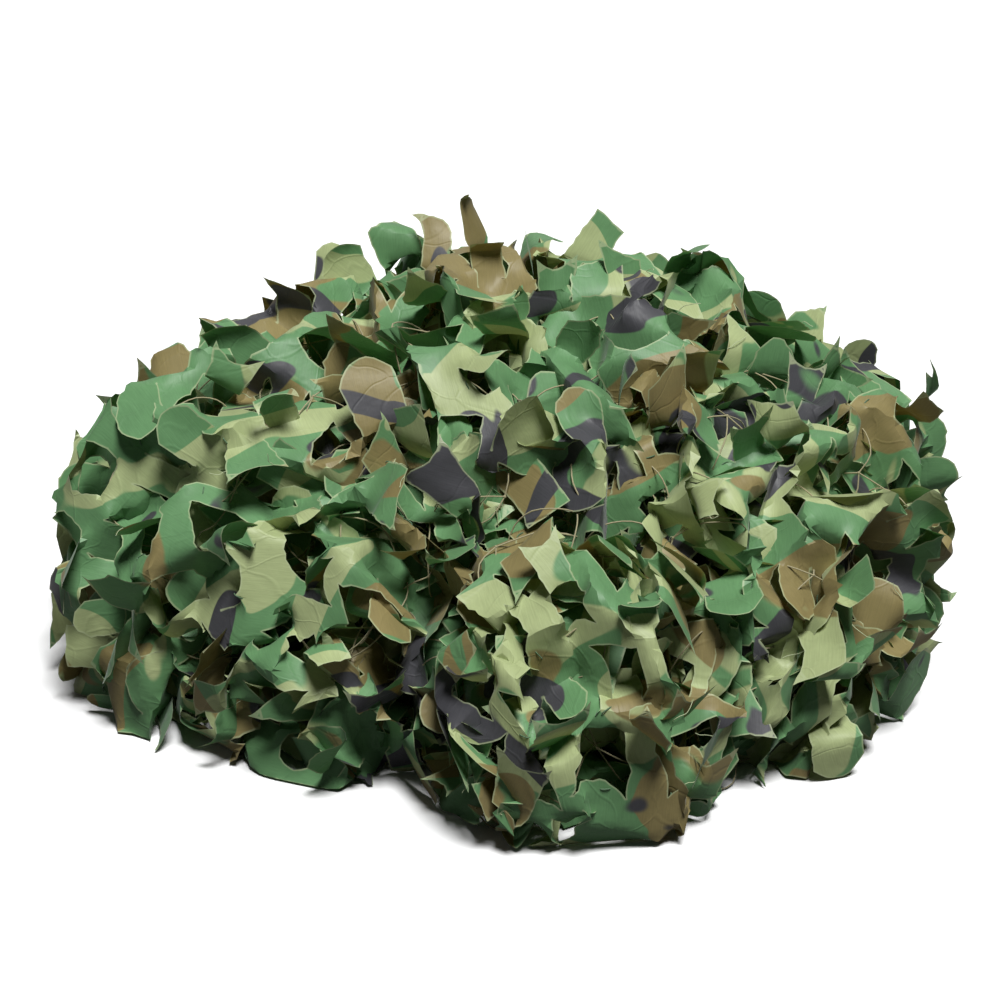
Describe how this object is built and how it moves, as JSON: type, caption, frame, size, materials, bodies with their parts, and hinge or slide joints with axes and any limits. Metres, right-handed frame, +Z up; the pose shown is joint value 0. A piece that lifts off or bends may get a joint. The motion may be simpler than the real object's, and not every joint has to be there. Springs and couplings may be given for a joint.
{
  "type": "camouflage netting",
  "caption": "Heaped camouflage netting: die-cut woodland leaf cloth on a thin cord net, folded back and forth into a low rounded mound that rests on the floor.",
  "frame": {"origin": "middle of the heap's box, at floor level", "axes": "+Z up, +X along the heap's long side, the broad side of the picture faces -Y"},
  "size_m": [0.6451, 0.5576, 0.2877],
  "materials": {
    "shaded_net": "matt printed polyester in deep shade",
    "net_cord": "undyed twisted cord",
    "printed_cloth": "soft sheen printed polyester"
  },
  "bodies": {
    "root": {"inner_folds": "shaded_net", "mesh_net": "net_cord", "leaf_cloth": "printed_cloth"}
  },
  "joints": []
}
